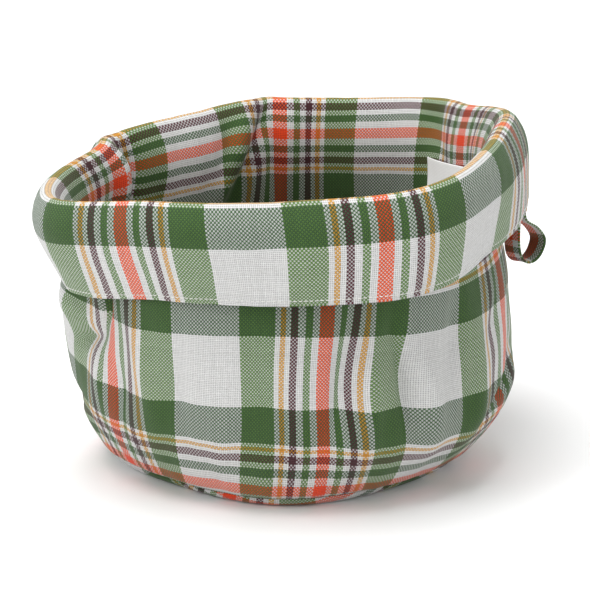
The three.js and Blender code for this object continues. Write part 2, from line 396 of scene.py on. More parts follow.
# Corners of the rim, as (bearing, half width in degrees, push in millimetres), and the heights in
# millimetres over which they grow. The last row draws in the whole left of the rim.
CORNERS = (
    (165, 5, 3.0), (175, 8, -1.8), (150, 12, -1.0),
    (96, 4.5, 3.2), (107, 7, -1.8), (86, 8, -1.0),
    (48, 6, 2.0), (60, 10, -0.8), (26, 6, 1.6), (37, 5, -1.0),
    (-172, 22, -7.0),
)
CORNERS_FROM, CORNERS_TO = 70, 132

# Folds, as (bearing, height, half length, half width, push, lean), in degrees and millimetres
WALL_FOLDS = (
    # the sharp crease at the left of the back wall, and the leaning one behind it
    (163, 118, 40, 4.5, 4.6, -4),
    (171, 114, 34, 5.5, -4.6, -4),
    (115, 122, 26, 5.5, -4.4, -27),
    (104, 128, 26, 4.5, 4.0, -27),
    (43, 130, 24, 7, 2.6, 30),
    (52, 124, 26, 8, -1.6, 24),
    (140, 118, 30, 14, -0.8, 0),
    (80, 118, 40, 16, 0.8, 0),
    # the body below the cuff, from left to right
    (-160, 81, 7, 12, 4.4, 0),
    (-141, 90, 14, 4, -6.5, 14),
    (-153, 68, 14, 4.5, -4.4, 76),
    (-147, 54, 14, 8, 3.0, 8),
    (-171, 34, 10, 4, -4.0, 84),
    (-166, 26, 6, 12, 1.4, 80),
    (-138, 46, 20, 4, -2.0, 14),
    (-128, 66, 24, 6, 2.0, -6),
    (-117, 60, 26, 6, -1.8, 4),
    (-106, 44, 20, 9, 1.4, 0),
    (-96, 74, 18, 6, -1.2, -8),
    (-86, 62, 24, 8, 1.4, 6),
    (-76, 66, 26, 5, -3.0, 8),
    (-68, 56, 22, 5, 3.4, 0),
    (-60, 64, 26, 4.5, -4.2, -8),
    (-51, 50, 22, 6, 3.4, -10),
    (-43, 70, 22, 6, -3.0, 10),
    (-34, 44, 18, 6, 2.6, 8),
    (-20, 42, 15, 4.5, -5.0, 62),
    (-11, 57, 10, 6, -2.6, 80),
    (-12, 44, 12, 7, 1.6, 76),
    (-26, 74, 12, 5, -1.8, 30),
    (-8, 76, 12, 6, -1.6, -24),
    (8, 58, 22, 9, 1.6, 0),
    # the back of the body
    (28, 56, 30, 8, -2.0, 6),
    (60, 50, 34, 12, 1.8, -6),
    (88, 60, 30, 7, -1.8, 10),
    (118, 52, 30, 11, 1.8, 0),
    (146, 62, 28, 8, -2.0, -12),
    (172, 54, 26, 10, 1.8, 6),
)
CUFF_FOLDS = (
    (-150, 118, 16, 12, 1.0, 10),
    (-128, 116, 14, 9, -0.8, 0),
    (-104, 120, 16, 14, 0.9, 0),
    (-84, 116, 14, 10, -0.7, 0),
    (-62, 118, 18, 12, -1.0, 8),
    (-40, 124, 20, 10, 0.9, 0),
    (-18, 130, 20, 12, -1.0, 0),
    (30, 128, 18, 14, -1.0, 0),
    (70, 122, 18, 12, 0.9, 0),
    (110, 124, 18, 12, -0.9, 0),
    (150, 122, 18, 12, 0.9, 0),
)
# Small ripples all round, as (height, waves in a turn, climb)
RIPPLES = ((0.35, 9, 22), (0.28, 17, 15), (0.2, 31, 11), (0.12, 53, 8))
# How the folds die away at the rim and at the base seam, as (reach, share)
CREST_CALM = (7 * MM, 0.75)
SEAM_CALM = (5 * MM, 0.7)
# How far the wall's foot is tucked in, in millimetres, and over what reach
FOOT_TUCK = 1.6
FOOT_TUCK_REACH = 3 * MM
# How much of the way the two cloths come together where they are sewn
DRAWN_IN = 0.6
# Where the body's and the cuff's stripes are drawn aside, as (bearing, height, half length, half
# width, shift)
DRIFTS = (
    (-69, 60, 24, 26, -4.6),
    (-148, 60, 26, 22, 2.0),
    (-30, 44, 20, 16, -2.4),
    (-104, 50, 26, 20, 1.4),
)
CUFF_DRIFTS = (
    (-122, 94, 26, 44, 5.0),
    (-96, 146, 22, 40, -2.6),
)


# ---- Meshes ----


def finished(name, places, faces, material, uv=None):
    """A smooth mesh object from points and faces. uv holds one place on the map per face corner."""
    mesh = bpy.data.meshes.new(name)
    faces = faces.tolist() if isinstance(faces, np.ndarray) else [list(map(int, f)) for f in faces]
    mesh.from_pydata(np.asarray(places).tolist(), [], faces)
    if uv is not None:
        mesh.uv_layers.new(name="OFBake").uv.foreach_set("vector", np.asarray(uv, np.float32).ravel())
    mesh.polygons.foreach_set("use_smooth", np.ones(len(mesh.polygons), bool))
    mesh.materials.append(material)
    mesh.update()
    if mesh.validate():
        raise RuntimeError(f"{name} has faces that had to be mended")
    obj = bpy.data.objects.new(name, mesh)
    bpy.context.scene.collection.objects.link(obj)
    return obj


def ring_faces(rows, columns, closed):
    """Faces of a tube of rows round the basket. closed joins the last row to the first."""
    last = rows if closed else rows - 1
    row, column = np.meshgrid(np.arange(last), np.arange(columns), indexing="ij")
    onward, beside = (row + 1) % rows, (column + 1) % columns
    corners = [row * columns + column, row * columns + beside, onward * columns + beside,
               onward * columns + column]
    return np.stack(corners, -1).reshape(-1, 4)


def ring_uv(across, along, closed):
    """The map of such a tube. across holds a row's places at the left and right of each column."""
    rows = len(along)
    last = rows if closed else rows - 1
    corners = []
    for step, side in ((0, 0), (0, 1), (1, 1), (1, 0)):
        pick = (np.arange(last) + step) % rows
        u = across[side][pick]
        v = np.concatenate([along, along[:, :1]], 1)[pick]
        v = v[:, 1:] if side else v[:, :-1]
        corners.append(np.stack([u, v], -1))
    return np.stack(corners, 2).reshape(-1, 2)


def rounded_sheet(near, far, first=0, last=None, bulge=1.0):
    """Rows of a cloth with two faces and rounded ends, as indexes of their middle-surface rows and
    the points themselves. near and far are the faces' points."""
    last = near.shape[1] - 1 if last is None else last
    rows = [(near[:, r], r) for r in range(first, last + 1)]
    rows += turned_edge(near[:, last], far[:, last], near[:, last - 1], far[:, last - 1], last, bulge)
    rows += [(far[:, r], r) for r in range(last, first - 1, -1)]
    inner_far, inner_near = far[:, first + 1], near[:, first + 1]
    rows += turned_edge(far[:, first], near[:, first], inner_far, inner_near, first, bulge)
    return rows


def turned_edge(here, there, inner_here, inner_there, row, bulge):
    """Three rows that carry a cloth's face round its rounded edge to its other face."""
    middle = (here + there) / 2
    spoke = here - middle
    reach = np.linalg.norm(spoke, axis=1, keepdims=True)
    onward = middle - (inner_here + inner_there) / 2
    onward = onward / np.linalg.norm(onward, axis=1, keepdims=True) * reach * bulge
    turns = [math.radians(a) for a in (45, 90, 135)]
    return [(middle + spoke * math.cos(a) + onward * math.sin(a), row) for a in turns]


def plaid_sheet(name, rows, across, along, material):
    """A closed cloth from its rows, with the plaid laid on it by its thread counts."""
    points = np.stack([points for points, _ in rows])
    index = [row for _, row in rows]
    left = across[0][:, index].T
    right = across[1][:, index].T
    uv = ring_uv((left, right), along[:, index].T, True)
    faces = ring_faces(len(rows), COLUMNS, True)
    return finished(name, points.reshape(-1, 3), faces, material, uv)


def warp_places(wall, oranges, main, seams=SIDE_SEAMS[:1]):
    """Places on the warp's map at the left and right of each column. The stripes are counted from
    the main orange one, and stretch or close up a little to pass through the others. The count
    starts again at each side seam."""
    girth = wall.anchored(oranges[main])
    whole = girth[-1] - girth[0]
    ease = np.sqrt(whole.max() / whole)
    sett = WARP_THREADS * sizes().thread_pitch
    turn = np.append(wall.bearing, wall.bearing[0] + 360)
    counted = girth * ease[None, :] / sett
    known = np.array(sorted((b - turn[0]) % 360 + turn[0] for b in oranges))
    wanted = np.arange(len(known)) - (len(known) - 1 - main)
    short = np.empty_like(counted)
    for row in range(counted.shape[1]):
        level = counted[:, min(row, wall.crest)]
        short[:, row] = np.interp(turn, known, wanted - np.interp(known, turn, level))
    counted = counted + short
    counted = counted - np.concatenate([wall.drift, wall.drift[:1]]) * MM / sett
    other = wall.anchored(oranges[main] + 180) * ease[None, :] / sett
    on_back = (wall.bearing + 180 / COLUMNS < SIDE_SEAMS[1])[:, None] & (len(seams) > 1)
    sides = []
    for shift in (0, 1):
        pick = slice(shift, COLUMNS + shift)
        sides.append(np.where(on_back, other[pick], counted[pick]))
    return sides


# ---- Materials ----


class Wiring:
    """Short calls for wiring a node tree."""

    def __init__(self, tree):
        self.tree = tree

    def node(self, kind, **settings):
        made = self.tree.nodes.new(kind)
        for name, value in settings.items():
            setattr(made, name, value)
        return made

    def feed(self, socket, value):
        if isinstance(value, bpy.types.NodeSocket):
            self.tree.links.new(value, socket)
        elif hasattr(socket.default_value, "__len__") and len(socket.default_value) == 4:
            socket.default_value = (*value, 1.0) if len(value) == 3 else value
        else:
            socket.default_value = value

    def math(self, kind, *values):
        made = self.node("ShaderNodeMath", operation=kind)
        for socket, value in zip(made.inputs, values):
            self.feed(socket, value)
        return made.outputs[0]

    def mix(self, factor, a, b, blend="MIX"):
        made = self.node("ShaderNodeMix", data_type="RGBA", blend_type=blend)
        self.feed(made.inputs["Factor"], factor)
        self.feed(made.inputs[6], a)
        self.feed(made.inputs[7], b)
        return made.outputs[2]

    def span(self, value, low, high, to_low=0.0, to_high=1.0):
        made = self.node("ShaderNodeMapRange", interpolation_type="SMOOTHSTEP")
        for socket, number in zip(made.inputs, (value, low, high, to_low, to_high)):
            self.feed(socket, number)
        return made.outputs[0]

    def join(self, x, y, z=0.0):
        made = self.node("ShaderNodeCombineXYZ")
        for socket, value in zip(made.inputs, (x, y, z)):
            self.feed(socket, value)
        return made.outputs[0]

    def noise(self, place, scale, detail=2.0):
        made = self.node("ShaderNodeTexNoise")
        self.feed(made.inputs["Vector"], place)
        made.inputs["Scale"].default_value = scale
        made.inputs["Detail"].default_value = detail
        return made.outputs[0]

    def shaded(self, colour, light):
        """A colour made lighter or darker by one number."""
        return self.mix(1.0, colour, self.join(light, light, light), "MULTIPLY")

    def lay(self):
        """Both places on the piece's map."""
        apart = self.node("ShaderNodeSeparateXYZ")
        self.feed(apart.inputs[0], self.node("ShaderNodeUVMap", uv_map="OFBake").outputs[0])
        return apart.outputs[0], apart.outputs[1]

    def stripes(self, threads, sett):
        """The colour of each thread, by its distance from the middle of an orange stripe."""
        last = sett[-1][1]
        made = self.node("ShaderNodeValToRGB")
        ramp = made.color_ramp
        ramp.interpolation = "CONSTANT"
        start = 0
        for step, (colour, end) in enumerate(sett):
            stop = ramp.elements[step] if step < 2 else ramp.elements.new(start / last)
            stop.position = start / last
            stop.color = (*getattr(colours(), colour), 1.0)
            start = end
        folded = self.math("PINGPONG", threads, float(last))
        self.feed(made.inputs[0], self.math("DIVIDE", folded, float(last)))
        return made.outputs[0]


def new_material(name):
    material = bpy.data.materials.new(name)
    material.use_nodes = True
    tree = material.node_tree
    return material, Wiring(tree), tree.nodes["Principled BSDF"]


def bump(wiring, shader, height, relief):
    made = wiring.node("ShaderNodeBump")
    made.inputs["Strength"].default_value = 1.0
    made.inputs["Distance"].default_value = relief
    wiring.feed(made.inputs["Height"], height)
    wiring.feed(shader.inputs["Normal"], made.outputs[0])


def plaid_material():
    """Plain-weave cotton in plaid. The map's unit is one sett, so it counts threads both ways."""
    material, w, shader = new_material("plaid_cotton")
    across, onward = w.lay()
    warp = w.math("MULTIPLY", w.math("FRACT", across), float(WARP_THREADS))
    weft = w.math("MULTIPLY", w.math("FRACT", onward), float(WEFT_THREADS))
    warp_thread, weft_thread = w.math("FLOOR", warp), w.math("FLOOR", weft)
    a = w.math("SUBTRACT", w.math("SUBTRACT", warp, warp_thread), 0.5)
    b = w.math("SUBTRACT", w.math("SUBTRACT", weft, weft_thread), 0.5)
    even = w.math("MODULO", w.math("ADD", warp_thread, weft_thread), 2.0)
    over = w.math("MULTIPLY_ADD", even, 2.0, -1.0)

    def ridge(across, onward, sign):
        """Height of a thread across its width, raised where it passes over."""
        round_top = w.math("MULTIPLY_ADD", w.math("MULTIPLY", across, across), -4.0, 1.0)
        wave = w.math("COSINE", w.math("MULTIPLY", onward, math.pi))
        lift = w.math("MULTIPLY", w.math("MULTIPLY", wave, over), 0.45 * sign)
        return w.math("MULTIPLY_ADD", round_top, 0.55, lift)

    warp_height, weft_height = ridge(a, b, 1.0), ridge(b, a, -1.0)
    # The warp is the closer set of threads, so a little more of it shows.
    warp_on_top = w.math("GREATER_THAN", w.math("ADD", warp_height, WARP_LEAD), weft_height)
    height = w.math("MAXIMUM", warp_height, weft_height)
    warp_colour = w.stripes(w.math("ADD", warp_thread, 0.5), WARP_SETT)
    weft_colour = w.stripes(w.math("ADD", weft_thread, 0.5), WEFT_SETT)
    top = w.mix(warp_on_top, weft_colour, warp_colour)
    under = w.mix(warp_on_top, warp_colour, weft_colour)
    # A pale thread lets the thread that it crosses show through.
    through_it = w.mix(1.0, top, under, "MULTIPLY")
    through_it = w.mix(1.0, through_it, tuple(1 / c for c in colours().white), "MULTIPLY")
    colour = w.mix(SEE_THROUGH, top, through_it)
    # Each thread differs a little from the next, and its fibres run along it.
    shade = w.node("ShaderNodeTexWhiteNoise", noise_dimensions="2D")
    own = w.math("MULTIPLY_ADD", warp_on_top, 400.0, 0.5)
    chosen = w.node("ShaderNodeMix", data_type="FLOAT")
    w.feed(chosen.inputs[0], warp_on_top)
    w.feed(chosen.inputs[2], weft_thread)
    w.feed(chosen.inputs[3], warp_thread)
    w.feed(shade.inputs["Vector"], w.join(w.math("ADD", chosen.outputs[0], 0.5), own))
    slub = w.noise(w.join(warp, weft), 0.45, 3.0)
    warp_fibres = w.noise(w.join(w.math("MULTIPLY", warp, 7.0), w.math("MULTIPLY", weft, 1.3)), 1.0)
    weft_fibres = w.noise(w.join(w.math("MULTIPLY", warp, 1.3), w.math("MULTIPLY", weft, 7.0)), 1.0)
    fibres = w.node("ShaderNodeMix", data_type="FLOAT")
    w.feed(fibres.inputs[0], warp_on_top)
    w.feed(fibres.inputs[2], weft_fibres)
    w.feed(fibres.inputs[3], warp_fibres)
    fibres = fibres.outputs[0]
    light = w.math("MULTIPLY_ADD", shade.outputs[0], 0.12, 0.94)
    light = w.math("MULTIPLY", light, w.math("MULTIPLY_ADD", slub, 0.3, 0.85))
    light = w.math("MULTIPLY", light, w.math("MULTIPLY_ADD", fibres, 0.3, 0.85))
    # Painted shade: the colour darkens where the weave is low, in the gaps between the threads.
    gap_painted_shade = w.span(height, *GAP_HEIGHTS, *GAP_LIGHT)
    w.feed(shader.inputs["Base Color"], w.shaded(colour, w.math("MULTIPLY", light, gap_painted_shade)))
    w.feed(shader.inputs["Roughness"], w.math("MULTIPLY_ADD", fibres, 0.2, 0.72))
    shader.inputs["Specular IOR Level"].default_value = 0.25
    shader.inputs["Sheen Weight"].default_value = 0.12
    shader.inputs["Sheen Roughness"].default_value = 0.5
    relief = w.math("MULTIPLY_ADD", fibres, 0.25, height)
    bump(w, shader, relief, WEAVE_RELIEF)
    return material


def fuzz_material(name, colour, grain, relief, depth=0.25):
    """Loose fibres with no lie, as in wadding."""
    material, w, shader = new_material(name)
    place = w.node("ShaderNodeTexCoord").outputs["Object"]
    fine = w.noise(place, 1 / grain, 5.0)
    broad = w.noise(place, 0.12 / grain, 2.0)
    light = w.math("ADD", w.math("MULTIPLY", fine, depth), w.math("MULTIPLY", broad, depth))
    light = w.math("ADD", light, 1 - depth)
    w.feed(shader.inputs["Base Color"], w.shaded(colour, light))
    w.feed(shader.inputs["Roughness"], w.math("MULTIPLY_ADD", fine, 0.15, 0.82))
    shader.inputs["Specular IOR Level"].default_value = 0.2
    shader.inputs["Sheen Weight"].default_value = 0.2
    bump(w, shader, fine, relief)
    return material


def twist_material():
    """Sewing thread: its map runs along and round it, so its plies slant across both."""
    material, w, shader = new_material("sewing_thread")
    along, around = w.lay()
    slant = w.math("ADD", w.math("MULTIPLY", along, 3.0), w.math("MULTIPLY", around, 3.0))
    ply = w.math("MULTIPLY_ADD", w.math("SINE", w.math("MULTIPLY", slant, 2 * math.pi)), 0.5, 0.5)
    # Painted shade: the colour darkens in the grooves between the plies.
    light = w.math("MULTIPLY_ADD", ply, 0.3, 0.72)
    w.feed(shader.inputs["Base Color"], w.shaded(colours().sewing, light))
    w.feed(shader.inputs["Roughness"], w.math("MULTIPLY_ADD", ply, -0.15, 0.75))
    shader.inputs["Specular IOR Level"].default_value = 0.35
    shader.inputs["Sheen Weight"].default_value = 0.1
    bump(w, shader, ply, 0.05 * MM)
    return material


def satin_material():
    """Blank satin: long floats that run along the tag, over fine crossing threads."""
    material, w, shader = new_material("label_satin")
    along, over = w.lay()
    along, over = w.math("MULTIPLY", along, 90.0), w.math("MULTIPLY", over, 120.0)
    float_line = w.math("MULTIPLY_ADD", w.math("SINE", w.math("MULTIPLY", over, math.pi)), 0.5, 0.5)
    step = w.math("MULTIPLY", w.math("FLOOR", over), 0.4)
    tie = w.math("FRACT", w.math("ADD", step, w.math("MULTIPLY", along, 0.25)))
    tied = w.span(tie, 0.0, 0.16)
    height = w.math("MULTIPLY", float_line, tied)
    grain = w.noise(w.join(along, w.math("MULTIPLY", over, 4.0)), 0.6, 3.0)
    # Painted shade darkens the ties and the dips between the floats, and the grain varies the tone.
    light = w.math("ADD", w.math("MULTIPLY_ADD", height, 0.10, 0.84), w.math("MULTIPLY", grain, 0.12))
    w.feed(shader.inputs["Base Color"], w.shaded(colours().satin, light))
    w.feed(shader.inputs["Roughness"], w.math("MULTIPLY_ADD", grain, 0.2, 0.35))
    shader.inputs["Sheen Weight"].default_value = 0.1
    shader.inputs["Anisotropic"].default_value = 0.4
    bump(w, shader, height, 0.03 * MM)
    return material


def floor_material():
    material, w, shader = new_material("pale_floor")
    place = w.node("ShaderNodeTexCoord").outputs["Object"]
    mottle = w.noise(place, 6.0, 3.0)
    light = w.math("MULTIPLY_ADD", mottle, 0.02, 0.98)
    w.feed(shader.inputs["Base Color"], w.shaded(colours().floor, light))
    w.feed(shader.inputs["Roughness"], w.math("MULTIPLY_ADD", mottle, 0.1, 0.75))
    shader.inputs["Specular IOR Level"].default_value = 0.1
    return material


made_once = {}


def shared(maker):
    """A material or other helper that several pieces use, made once."""
    if maker not in made_once:
        made_once[maker] = maker()
    return made_once[maker]


# ---- Stitches ----

STITCH_SIDES = 7
STITCH_STEPS = 6


def stitches(name, path, normals, pitch, width, share, sink):
    """Separate stitches along a closed or open line of points: each dives into the cloth at both
    its ends. share is how much of the pitch shows, and sink how deep its ends go."""
    steps = np.linalg.norm(np.diff(path, axis=0), axis=1)
    reached = np.concatenate([[0], np.cumsum(steps)])
    count = max(1, round(reached[-1] / pitch))
    pitch = reached[-1] / count
    points, faces, uv = [], [], []
    arc = np.linspace(-1, 1, STITCH_STEPS + 1)
    for k in range(count):
        at = (k + 0.5 + arc * share / 2) * pitch
        line = np.stack([np.interp(at, reached, path[:, c]) for c in range(3)], 1)
        out = np.stack([np.interp(at, reached, normals[:, c]) for c in range(3)], 1)
        out /= np.linalg.norm(out, axis=1, keepdims=True)
        line = line - out * (sink * arc**4)[:, None] + out * (width * 0.28)
        add_tube(points, faces, uv, line, out, width / 2 * (1 - 0.45 * arc**6))
    return finished(name, points, faces, shared(twist_material), uv)


def add_tube(points, faces, uv, line, out, radius):
    """Adds a closed tube along a line of points. out is a direction across it at each point."""
    base, steps = len(points), len(line)
    onward = np.gradient(line, axis=0)
    onward /= np.linalg.norm(onward, axis=1, keepdims=True)
    side = np.cross(onward, out)
    side /= np.linalg.norm(side, axis=1, keepdims=True)
    up = np.cross(side, onward)
    for s in range(steps):
        for k in range(STITCH_SIDES):
            turn = 2 * math.pi * k / STITCH_SIDES
            points.append(line[s] + radius[s] * (side[s] * math.cos(turn) + up[s] * math.sin(turn)))
    for s in range(steps - 1):
        for k in range(STITCH_SIDES):
            a, b = base + s * STITCH_SIDES + k, base + s * STITCH_SIDES + (k + 1) % STITCH_SIDES
            faces.append((a, b, b + STITCH_SIDES, a + STITCH_SIDES))
            low, high = k / STITCH_SIDES, (k + 1) / STITCH_SIDES
            near, far = s / (steps - 1), (s + 1) / (steps - 1)
            uv.extend([(near, low), (near, high), (far, high), (far, low)])
    first = [base + k for k in range(STITCH_SIDES)][::-1]
    last = [base + (steps - 1) * STITCH_SIDES + k for k in range(STITCH_SIDES)]
    for end in (first, last):
        faces.append(tuple(end))
        uv.extend([(0.5, k / STITCH_SIDES) for k in range(STITCH_SIDES)])


# ---- The pieces ----


class StageOperator(bpy.types.Operator):
    """Lay the pale floor and set the soft lights and the camera"""

    bl_idname = "basket.stage"
    bl_label = "Stage and camera"

    def execute(self, context):
        scene = context.scene
        camera = bpy.data.objects.new("camera", bpy.data.cameras.new("camera"))
        camera.data.angle = math.radians(CAMERA_VIEW)
        camera.data.clip_end = 50
        rise = math.radians(CAMERA_RISE)
        back = Vector((0, -math.cos(rise), math.sin(rise)))
        camera.location = Vector(CAMERA_TARGET) + CAMERA_DISTANCE * back
        camera.rotation_euler = (math.pi / 2 - rise, 0, 0)
        scene.collection.objects.link(camera)
        scene.camera = camera
        self.lay_floor()
        for lamp in LAMPS:
            self.lamp(scene, *lamp)
        world = bpy.data.worlds.new("soft_room")
        scene.world = world
        world.use_nodes = True
        room = world.node_tree.nodes["Background"].inputs
        room["Color"].default_value = (1, 1, 1, 1)
        room["Strength"].default_value = ROOM_LIGHT
        scene.view_settings.view_transform = "Standard"
        return {"FINISHED"}

    @staticmethod
    def lay_floor():
        """A floor that curves up into a wall all round, far from the basket."""
        spokes, reach, wall = 96, 6.0, 3.0
        sweep = [(r, 0.0) for r in np.linspace(0.02, reach, 24)]
        for turn in np.linspace(0.1, 1.5, 12):
            sweep.append((reach + wall * math.sin(turn), wall * (1 - math.cos(turn))))
        points = [
            (r * math.cos(a), r * math.sin(a), h)
            for r, h in sweep
            for a in np.linspace(0, 2 * math.pi, spokes, endpoint=False)
        ]
        faces = ring_faces(len(sweep), spokes, False)[:, ::-1].tolist()
        faces.append(list(range(spokes)))
        floor = finished("floor", points, faces, floor_material())

    @staticmethod
    def lamp(scene, name, place, size, power):
        light = bpy.data.lights.new(name, "AREA")
        light.shape, light.size, light.energy = "DISK", size, power
        lamp = bpy.data.objects.new(name, light)
        lamp.location = place
        aim = Vector(LAMPS_AIM) - Vector(place)
        lamp.rotation_euler = aim.to_track_quat("-Z", "Y").to_euler()
        scene.collection.objects.link(lamp)


class LiningOperator(bpy.types.Operator):
    """Sew the lining, which runs up the inside, over the fold and down as the cuff's face"""

    bl_idname = "basket.lining"
    bl_label = "Lining and cuff"

    def execute(self, context):
        wall = shared(Wall)
        cloth = cloth_thickness()
        near, far = wall.face(-(wall.half - cloth)), wall.face(-wall.half)
        rows = rounded_sheet(near, far)
        across = warp_places(wall, LINING_ORANGES, LINING_MAIN)
        along = (wall.from_crest + WEFT_FROM_CREST) / (WEFT_THREADS * sizes().thread_pitch)
        lining = plaid_sheet("lining_cloth", rows, across, along, shared(plaid_material))
        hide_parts("lining_wall")
        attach(lining, "basket")
        declare_wall_sheet(wall)
        return {"FINISHED"}


def declare_wall_sheet(wall):
    """Works out a wall cloth's girth at each row, and keeps nothing of it."""
    girth = wall.anchored(0)
    girth = girth[-1] - girth[0]


class OuterClothOperator(bpy.types.Operator):
    """Sew the outer cloth, from the base seam up to the fold and on as the back of the cuff"""

    bl_idname = "basket.outer_cloth"
    bl_label = "Outer cloth"

    def execute(self, context):
        wall = shared(Wall)
        cloth = cloth_thickness()
        near, far = wall.face(wall.half), wall.face(wall.half - cloth)
        rows = rounded_sheet(near, far)
        across = warp_places(wall, OUTER_ORANGES, OUTER_MAIN, SIDE_SEAMS)
        eased_in = SEAM_EASE * fade(wall.from_seam, SEAM_EASE_REACH)
        along = (wall.from_seam - WEFT_FROM_SEAM + eased_in) / (WEFT_THREADS * sizes().thread_pitch)
        outer = plaid_sheet("outer_cloth", rows, across, along, shared(plaid_material))
        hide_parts("outer_wall")
        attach(outer, "basket")
        declare_wall_sheet(wall)
        return {"FINISHED"}


class WaddingOperator(bpy.types.Operator):
    """Lay the wadding between the wall's two cloths and in the base"""

    bl_idname = "basket.wadding"
    bl_label = "Wadding"

    def execute(self, context):
        wall = shared(Wall)
        low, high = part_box("base_padding")
        thickness = (high[2] - low[2]) / 2
        material = fuzz_material("wadding", colours().wadding, 1.2 * MM, 0.2 * MM)
        near = wall.places + wall.normal * thickness
        far = wall.places - wall.normal * thickness
        hem_gap = int(np.argmax(wall.to_hem.mean(0) < WADDING_FROM_HEM))
        seam_gap = int(np.argmax(wall.from_seam.mean(0) > WADDING_FROM_SEAM))
        rows = rounded_sheet(near, far, seam_gap, hem_gap, 0.9)
        points = np.stack([points for points, _ in rows]).reshape(-1, 3)
        padding = finished("wall_wadding", points, ring_faces(len(rows), COLUMNS, True), material)
        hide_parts("wall_padding")
        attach(padding, "basket")
        disc = base_disc("base_wadding", "base_padding", material, 0.5)
        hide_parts("base_padding")
        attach(disc, "basket")
        return {"FINISHED"}


def node_outline(node):
    """The reach of a CAD disc's edge at each of the wall's columns."""
    places = np.array([v.co for v in frame["nodes"][node].data.vertices])
    reach = np.hypot(places[:, 0], places[:, 1])
    bearing = np.round(np.degrees(np.arctan2(places[:, 1], places[:, 0])), 1) % 360
    known = sorted(set(bearing[reach > 0.01]))
    edge = np.array([reach[bearing == b].max() for b in known])
    return round_curve(np.array(known), edge, shared(Wall).bearing)


def base_disc(name, node, material, puff, plaid=None):
    """A flat disc of cloth or wadding with a rounded edge, in the space of its CAD disc."""
    low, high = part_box(node)
    edge = node_outline(node)
    half = (high[2] - low[2]) / 2
    middle = (high[2] + low[2]) / 2
    angle = np.radians(shared(Wall).bearing)
    wave = np.random.default_rng(3).uniform(0, 6, 4)

    def ring(share, height):
        reach = edge * share
        x, y = reach * np.cos(angle), reach * np.sin(angle)
        sway = 0.12 * MM * puff * (np.sin(x * 95 + wave[0]) * np.sin(y * 80 + wave[1]))
        return np.stack([x, y, middle + height + sway * (1 - share**4)], 1)

    shares = 1 - (1 - np.linspace(HUB, 1, DISC_RINGS)) ** 1.2
    shares = shares * (1 - half / edge.mean())
    rows = [ring(s, half) for s in shares]
    for turn in (45, 90, 135):
        out, up = math.sin(math.radians(turn)), math.cos(math.radians(turn))
        rows.append(ring(shares[-1] + (1 - shares[-1]) * out, half * up))
    rows += [ring(s, -half) for s in shares[::-1]]
    points = np.concatenate(rows)
    faces = ring_faces(len(rows), COLUMNS, False)[:, ::-1].tolist()
    faces.append(list(range(COLUMNS)))
    last = (len(rows) - 1) * COLUMNS
    faces.append(list(range(last + COLUMNS - 1, last - 1, -1)))
    uv = None
    if plaid is not None:
        uv = [plaid_place(points[i], plaid) for face in faces for i in face]
    return finished(name, points, faces, material, uv)


def plaid_place(point, start):
    """Where a point of a flat cloth lies on the plaid's map. start is the orange crossing."""
    pitch = sizes().thread_pitch
    return (
        (point[0] - start[0]) / (WARP_THREADS * pitch),
        (point[1] - start[1]) / (WEFT_THREADS * pitch),
    )


class BaseOperator(bpy.types.Operator):
    """Sew the base: its outer cloth, with the edge turned up to the seam, and its lining"""

    bl_idname = "basket.base"
    bl_label = "Base cloths"

    def execute(self, context):
        wall = shared(Wall)
        cloth = cloth_thickness()
        foot = wall.face(wall.half)[:, 0]
        edge = np.hypot(foot[:, 0], foot[:, 1]) - SEAM_TUCK
        top = foot[:, 2] - SEAM_GAP
        angle = np.radians(wall.bearing)

        def ring(reach, height):
            return np.stack([reach * np.cos(angle), reach * np.sin(angle), height + 0 * angle], 1)

        flat = [ring((edge - BASE_BEND) * s, 0.0) for s in np.linspace(HUB, 1, 24)]
        outside, inside = list(flat), [row + (0, 0, cloth) for row in flat]
        for turn in np.radians(np.linspace(8, 90, 12)):
            out, up = math.sin(turn), 1 - math.cos(turn)
            reach = edge - BASE_BEND * (1 - out)
            outside.append(ring(reach, top * up))
            inside.append(ring(reach - cloth * out, cloth + (top - cloth) * up * 0.96))
        rows = outside + inside[::-1]
        points = np.concatenate(rows)
        faces = ring_faces(len(rows), COLUMNS, False).tolist()
        faces.append(list(range(COLUMNS - 1, -1, -1)))
        last = (len(rows) - 1) * COLUMNS
        faces.append(list(range(last, last + COLUMNS)))
        # The cloth's own place counts the turned-up edge as lying flat.
        spread = np.concatenate([[0], np.cumsum([
            np.linalg.norm(b - a, axis=1).mean() for a, b in zip(outside, outside[1:])])])
        spread += HUB * edge.mean()
        spread = np.concatenate([spread, spread[::-1]])
        uv = []
        for face in faces:
            for i in face:
                row, column = divmod(i, COLUMNS)
                here = (spread[row] * math.cos(angle[column]), spread[row] * math.sin(angle[column]))
                uv.append(plaid_place(here, BASE_CROSSING))
        outer = finished("base_cloth", points, faces, shared(plaid_material), uv)
        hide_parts("outer_base")
        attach(outer, "basket")
        across = 2 * float(spread.max())
        cloth = shared(plaid_material)
        lining = base_disc("base_lining", "lining_base", cloth, 1.0, plaid=BASE_LINING_CROSSING)
        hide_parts("lining_base")
        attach(lining, "basket")
        across = 2 * float(node_outline("lining_base").mean())
        return {"FINISHED"}


